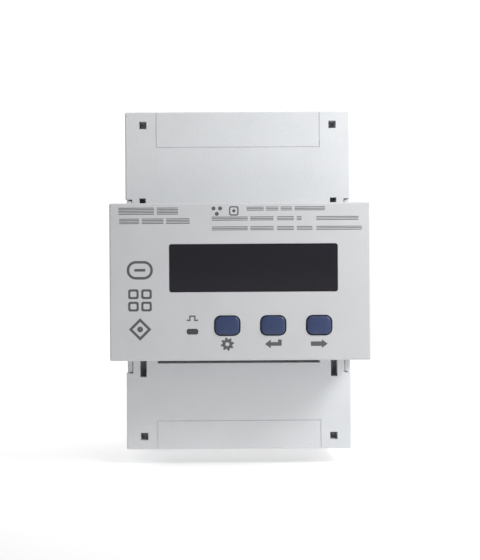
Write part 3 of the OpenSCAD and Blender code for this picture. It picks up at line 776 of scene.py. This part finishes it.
# Shares of a chip part's length: its body, each tinned end and where the ends' middles are
CHIP_BODY, CHIP_END, CHIP_END_AT = 0.7, 0.2, 0.42
# The ends are this much wider than the body and stand this far over it
CHIP_END_WIDER = 1.04
CHIP_END_PROUD = 0.02 * MM
CHIP_END_EDGE = 0.1 * MM


def make_chip_parts():
    """Small chip resistors and capacitors with tinned ends."""
    bodies, ends = bmesh.new(), bmesh.new()
    width, length, height = (size * MM for size in CHIP_SIZE)
    front = BOARD_FRONT_Y - height

    def outline_of(x, z, width, length):
        return lambda inset: rounded_box(x, z, width - 2 * inset, length, CHIP_CORNER, 2)

    for first, last, row_z, count in CHIP_ROWS:
        z = row_z * MM
        for x in evenly(first * MM, last * MM, count):
            body = outline_of(x, z, width, length * CHIP_BODY)
            softened_slab(bodies, body, front, BOARD_FRONT_Y, CHIP_EDGE)
            for side in (-1, 1):
                end_z = z + side * length * CHIP_END_AT
                end = outline_of(x, end_z, width * CHIP_END_WIDER, length * CHIP_END)
                softened_slab(ends, end, front - CHIP_END_PROUD, BOARD_FRONT_Y, CHIP_END_EDGE)
    add_piece("chip_part_bodies", bodies, "chip_black")
    add_piece("chip_part_ends", ends, "steel")


# ---- Printing on the nose and the label ----------------------------------

# All sizes from here to the camera are millimetres
INK_SINK = 0.03
INK_PROUD = 0.02
HAIRLINE = 0.19
HAIRLINE_PITCH = 0.42


def on_nose(x, z, height):
    """A point over the nose's front face, from millimetres about the nose's middle."""
    return (x * MM, NOSE_FRONT_Y - height * MM, z * MM)


def on_label(x, z, height):
    """A point over the flank's label, from millimetres about the label's middle."""
    middle = middle_of("wiring_label")
    return (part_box("wiring_label")[1].x + height * MM, middle.y + x * MM, middle.z + z * MM)


class Print:
    """Thin flat shapes printed on a face, drawn in millimetres from its middle."""

    def __init__(self, name, place=on_nose):
        self.name = name
        self.place = place
        self.mesh = bmesh.new()

    def ring(self, outline, height):
        return [self.place(x, z, height) for x, z in outline]

    def shape(self, outline):
        """A filled outline."""
        bridge(self.mesh, [self.ring(outline, INK_PROUD), self.ring(outline, -INK_SINK)])

    def loop(self, outer, inner):
        """A closed band between two outlines with the same number of points."""
        bridge(self.mesh, [
            self.ring(outer, INK_PROUD), self.ring(inner, INK_PROUD),
            self.ring(inner, -INK_SINK), self.ring(outer, -INK_SINK),
        ], closed=True)

    def border(self, at, outer, hole, corner_sides=5):
        """A border between two rounded rectangles, each as (width, height, corner radius)."""
        self.loop(
            rounded_box(*at, *outer, corner_sides), rounded_box(*at, *hole, corner_sides)
        )

    def bar(self, x0, x1, z0, z1):
        self.shape([(x0, z0), (x1, z0), (x1, z1), (x0, z1)])

    def dot(self, x, z, radius):
        self.shape(circle(x, z, radius))

    def words(self, spans, top, height):
        """Filler for a line of small print: a stack of hairlines for each word."""
        for left, right in spans:
            for i in range(round(height / HAIRLINE_PITCH)):
                high = top - i * HAIRLINE_PITCH
                self.bar(left, right, high - HAIRLINE, high)

    def finish(self):
        add_piece(self.name, self.mesh, "ink")


# Lines of filler on the nose: words as (left, right), the line's top and its height
TITLE_LINES = [
    ([(-33.4, -23.6), (-22.8, -17.0)], 20.5, 2.1),
    ([(-33.2, -27.7), (-27.0, -21.0), (-20.3, -13.8)], 17.5, 1.7),
]
RATING_LINES = [
    ([(1.9, 6.6), (7.2, 10.6), (11.3, 14.4), (15.1, 23.5)], 20.6, 1.3),
    ([(-7.7, 2.2), (2.9, 9.3), (10.3, 14.9), (15.7, 17.0), (21.1, 32.7)], 17.9, 1.3),
    ([(-7.7, 2.2), (2.9, 9.3), (10.3, 14.9), (15.7, 20.0), (21.1, 33.6)], 15.2, 1.3),
]
RATING_DOTS = [(-7.2, 20.2), (-5.4, 20.2), (-6.3, 18.7)]
RATING_DOT_R = 0.55
RATING_BOX_AT = (-1.6, 19.5)
RATING_BOX, RATING_BOX_HOLE = (2.6, 2.6, 0.6), (1.9, 1.9, 0.3)
RATING_BOX_DOT_R = 0.45


def print_title():
    drawing = Print("print_title")
    for line in TITLE_LINES:
        drawing.words(*line)
    drawing.finish()


def print_ratings():
    """Filler lines, with three dots and a dotted box in place of the two electrical signs."""
    drawing = Print("print_ratings")
    for line in RATING_LINES:
        drawing.words(*line)
    for x, z in RATING_DOTS:
        drawing.dot(x, z, RATING_DOT_R)
    drawing.border(RATING_BOX_AT, RATING_BOX, RATING_BOX_HOLE)
    drawing.dot(*RATING_BOX_AT, RATING_BOX_DOT_R)
    drawing.finish()


SIGNS_X = -27.6
PILL_SIGN_Z = 3.3
PILL_SIGN, PILL_SIGN_HOLE = (7.2, 5.1, 2.5), (5.8, 3.7, 1.8)
PILL_SIGN_SIDES = 8
PILL_SIGN_BAR = (3.0, 0.7)
GRID_SIGN_Z = -5.0
GRID_SIGN_STEP = (1.8, 1.7)
GRID_SIGN_CELL, GRID_SIGN_HOLE = (2.9, 2.7, 0.6), (1.7, 1.5, 0.3)
DIAMOND_SIGN_Z = -13.0
DIAMOND_SIGN_REACH, DIAMOND_SIGN_HOLE = 3.1, 2.1
DIAMOND_SIGN_DOT_R = 0.8


def diamond(x, z, reach):
    return [(x + reach, z), (x, z + reach), (x - reach, z), (x, z - reach)]


def print_signs():
    """Three plain signs down the left, in place of approval marks."""
    drawing = Print("print_signs")
    x, z = SIGNS_X, PILL_SIGN_Z
    drawing.border((x, z), PILL_SIGN, PILL_SIGN_HOLE, PILL_SIGN_SIDES)
    width, height = PILL_SIGN_BAR
    drawing.bar(x - width / 2, x + width / 2, z - height / 2, z + height / 2)
    step_x, step_z = GRID_SIGN_STEP
    for side in (-1, 1):
        for row in (-1, 1):
            at = (x + side * step_x, GRID_SIGN_Z + row * step_z)
            drawing.border(at, GRID_SIGN_CELL, GRID_SIGN_HOLE)
    at = (x, DIAMOND_SIGN_Z)
    drawing.loop(diamond(*at, DIAMOND_SIGN_REACH), diamond(*at, DIAMOND_SIGN_HOLE))
    drawing.dot(*at, DIAMOND_SIGN_DOT_R)
    drawing.finish()


KEY_SIGNS_Z = -17.2
GEAR_TEETH = 8
GEAR_TIP_R, GEAR_ROOT_R, GEAR_HOLE_R = 1.85, 1.35, 0.55
# An arrow's half length, the half width of its head and where its head meets its shaft
ARROW_TIP, ARROW_WING, ARROW_NECK = 2.3, 1.2, 0.7
RETURN_SHAFT, FORWARD_SHAFT = 0.5, 0.62
RETURN_RISE_X = 1.3


def gear_outline(x, z, tip, root, teeth):
    steps = teeth * 4
    points = []
    for i in range(steps):
        turn = (i + 0.5) / steps * 2 * math.pi
        radius = tip if i % 4 in (0, 1) else root
        points.append((x + radius * math.cos(turn), z + radius * math.sin(turn)))
    return points


def print_key_signs():
    """A gear, a return arrow and a forward arrow under the keys."""
    drawing = Print("print_key_signs")
    set_x, esc_x, next_x = [middle_of(key + "_button").x / MM for key in KEYS]
    z, tip, wing, neck = KEY_SIGNS_Z, ARROW_TIP, ARROW_WING, ARROW_NECK
    drawing.loop(
        gear_outline(set_x, z, GEAR_TIP_R, GEAR_ROOT_R, GEAR_TEETH),
        circle(set_x, z, GEAR_HOLE_R, GEAR_TEETH * 4),
    )
    half, rise = RETURN_SHAFT, RETURN_RISE_X
    drawing.shape([
        (esc_x - tip, z), (esc_x - neck, z - wing), (esc_x - neck, z - half),
        (esc_x + tip, z - half), (esc_x + tip, z + wing), (esc_x + rise, z + wing),
        (esc_x + rise, z + half), (esc_x - neck, z + half), (esc_x - neck, z + wing),
    ])
    half = FORWARD_SHAFT
    drawing.shape([
        (next_x + tip, z), (next_x + neck, z + wing), (next_x + neck, z + half),
        (next_x - tip, z + half), (next_x - tip, z - half), (next_x + neck, z - half),
        (next_x + neck, z - wing),
    ])
    drawing.finish()


PULSE_LINE = 0.36
PULSE_LOW_Z, PULSE_HIGH_Z = -10.75, -9.25
PULSE_HALF, PULSE_REACH = 0.5, 1.55


def print_pulse():
    """A square pulse over the light."""
    drawing = Print("print_pulse")
    x = middle_of("pulse_lens").x / MM
    foot_z = PULSE_LOW_Z + PULSE_LINE
    for side in (-1, 1):
        foot = sorted((x + side * PULSE_HALF, x + side * PULSE_REACH))
        drawing.bar(*foot, PULSE_LOW_Z, foot_z)
        riser = sorted((x + side * PULSE_HALF, x + side * (PULSE_HALF + PULSE_LINE)))
        drawing.bar(*riser, foot_z, PULSE_HIGH_Z)
    drawing.bar(x - PULSE_HALF, x + PULSE_HALF, PULSE_HIGH_Z - PULSE_LINE, PULSE_HIGH_Z)
    drawing.finish()


# The last wire is the neutral one, which runs past the transformers
WIRES_X = (-6.3, -2.1, 2.1, 6.3)
WIRE_END_Z = 12.5
WIRE_HALF = 0.16
WIRE_TERMINAL, WIRE_TERMINAL_HOLE = (1.7, 1.7, 0.2), (1.2, 1.2, 0.1)
DIAGRAM_BORDER, DIAGRAM_FIELD = (18.6, 30.6, 0.8), (18.1, 30.1, 0.55)
METER_BOX_Z = -5.0
METER_BOX, METER_BOX_HOLE = (16, 4.6, 0.6), (15.4, 4.0, 0.3)
METER_DOT_R = 0.5
RING_Z = 5.0
RING_R, RING_HOLE_R = 1.35, 1.0
RING_LEAD = 1


def print_wiring():
    """A plain wiring diagram on the label: four lines, three ring transformers and a box."""
    drawing = Print("print_wiring", on_label)
    drawing.border((0, 0), DIAGRAM_BORDER, DIAGRAM_FIELD)
    drawing.border((0, METER_BOX_Z), METER_BOX, METER_BOX_HOLE)
    box_low, box_high = METER_BOX_Z - METER_BOX[1] / 2, METER_BOX_Z + METER_BOX[1] / 2
    for x in WIRES_X:
        for side in (-1, 1):
            at = (x, side * (WIRE_END_Z + WIRE_TERMINAL[1] / 2))
            drawing.border(at, WIRE_TERMINAL, WIRE_TERMINAL_HOLE)
        runs = [(-WIRE_END_Z, box_low)]
        if x == WIRES_X[-1]:
            runs.append((box_high, WIRE_END_Z))
        else:
            runs.append((box_high, RING_Z - RING_R))
            runs.append((RING_Z - RING_HOLE_R, RING_Z + RING_HOLE_R))
            runs.append((RING_Z + RING_R, WIRE_END_Z))
            drawing.loop(circle(x, RING_Z, RING_R), circle(x, RING_Z, RING_HOLE_R))
            lead = x + RING_R
            drawing.bar(lead, lead + RING_LEAD, RING_Z - WIRE_HALF, RING_Z + WIRE_HALF)
        for low, high in runs:
            drawing.bar(x - WIRE_HALF, x + WIRE_HALF, low, high)
        drawing.dot(x, METER_BOX_Z, METER_DOT_R)
    drawing.finish()


# ---- Camera, floor and light ---------------------------------------------

SENSOR = 36
CAMERA_DISTANCE = 0.203
CAMERA_LEFT = 0.0069
CAMERA_UP = 0.0049
# What the picture spans from top to bottom at the nose's front, and how far the nose's middle
# lies below the picture's
VIEW_HEIGHT = 0.1542
VIEW_DROP = 0.0005
ROLL = math.radians(0.35)
FLOOR_RADIUS = 3.0
FLOOR_SIDES = 64
FLOOR_GAP = 0.3 * MM
# The studio's strength rises from low to high towards its bright side
BRIGHT_SIDE = (0.05, 1, 0)
STUDIO_LOW, STUDIO_HIGH = 0.24, 1.10
# The floor's glow rises between these two depths
GLOW_FROM_Y, GLOW_TO_Y = -0.16, 0.0
FLOOR_GLOW = 0.57
LIGHT_SIZE = 0.08
LIGHT_TARGET = Vector((0, -0.04, 0))
# Name, position and power
LIGHTS = [
    ("key_light", Vector((0.16, -0.15, 0.14)), 0.46),
    ("front_light", Vector((0.13, -0.20, 0.05)), 0.067),
]


def place_camera():
    """A camera square to the front, a little left of and above the middle.

    The shift brings the nose back to the middle of the picture.
    """
    data = bpy.data.cameras.new("camera")
    data.sensor_width = SENSOR
    data.lens = SENSOR * CAMERA_DISTANCE / VIEW_HEIGHT
    data.shift_x = CAMERA_LEFT / VIEW_HEIGHT
    data.shift_y = (VIEW_DROP - CAMERA_UP) / VIEW_HEIGHT
    data.clip_start = 0.01
    data.clip_end = 10
    camera = bpy.data.objects.new("camera", data)
    camera.location = (-CAMERA_LEFT, NOSE_FRONT_Y - CAMERA_DISTANCE, CAMERA_UP)
    camera.rotation_euler = (math.pi / 2, ROLL, 0)
    bpy.context.scene.collection.objects.link(camera)
    bpy.context.scene.camera = camera


def make_floor():
    """A wide pale floor that glows a little towards the back, below the clip's lowest reach."""
    mesh = bmesh.new()
    bmesh.ops.create_circle(mesh, cap_ends=True, radius=FLOOR_RADIUS, segments=FLOOR_SIDES)
    data = bpy.data.meshes.new("floor")
    mesh.to_mesh(data)
    mesh.free()
    floor = bpy.data.objects.new("floor", data)
    floor.location.z = CAD_BOX[0].z - travel_of(CLIP_JOINT) - FLOOR_GAP
    bpy.context.scene.collection.objects.link(floor)
    shader = Shader("floor_paint", (0.75, 0.75, 0.75), 0.8)
    shader.vary_roughness(shader.noise(0.05, detail=2), 0.05)
    axes = shader.add("ShaderNodeSeparateXYZ")
    shader.link(shader.coords, axes.inputs["Vector"])
    glow = shader.map_range(axes.outputs["Y"], GLOW_FROM_Y, GLOW_TO_Y, 0, FLOOR_GLOW)
    shader.link(glow, shader.bsdf.inputs["Emission Strength"])
    shader.set(Emission_Color=(1, 1, 1, 1))
    data.materials.append(shader.material)


def area_light(name, position, power):
    """A square lamp that the camera doesn't see."""
    data = bpy.data.lights.new(name, "AREA")
    data.shape = "RECTANGLE"
    data.size = data.size_y = LIGHT_SIZE
    data.energy = power
    light = bpy.data.objects.new(name, data)
    light.location = position
    light.rotation_euler = (LIGHT_TARGET - position).to_track_quat("-Z", "Y").to_euler()
    light.visible_camera = False
    bpy.context.scene.collection.objects.link(light)


def light_world():
    """A white studio all round, brighter towards one side."""
    world = bpy.data.worlds.new("studio")
    world.use_nodes = True
    nodes, links = world.node_tree.nodes, world.node_tree.links
    coords = nodes.new("ShaderNodeTexCoord")
    share = nodes.new("ShaderNodeVectorMath")
    share.operation = "DOT_PRODUCT"
    share.inputs[1].default_value = BRIGHT_SIDE
    strength = nodes.new("ShaderNodeMapRange")
    strength.inputs["From Min"].default_value = -1
    strength.inputs["To Min"].default_value = STUDIO_LOW
    strength.inputs["To Max"].default_value = STUDIO_HIGH
    background = nodes["Background"]
    background.inputs["Color"].default_value = (1, 1, 1, 1)
    links.new(coords.outputs["Generated"], share.inputs[0])
    links.new(share.outputs["Value"], strength.inputs["Value"])
    links.new(strength.outputs["Result"], background.inputs["Strength"])
    bpy.context.scene.world = world
    bpy.context.scene.view_settings.view_transform = "Standard"


place_camera()
make_floor()
light_world()
for lamp in LIGHTS:
    area_light(*lamp)
dress_nodes()
round_edges()
for key in KEYS:
    make_key(key + "_button", key + "_key")
    make_dome(key + "_dome", key + "_pill")
make_clip_spring()
make_electrolytic_capacitors()
make_varistors()
make_header("board_header")
make_header("signal_header")
make_transformer_tape()
make_chip_parts()
for phase in ("l1", "l2", "l3"):
    make_current_transformer("current_transformer_" + phase)
print_title()
print_ratings()
print_signs()
print_key_signs()
print_pulse()
print_wiring()
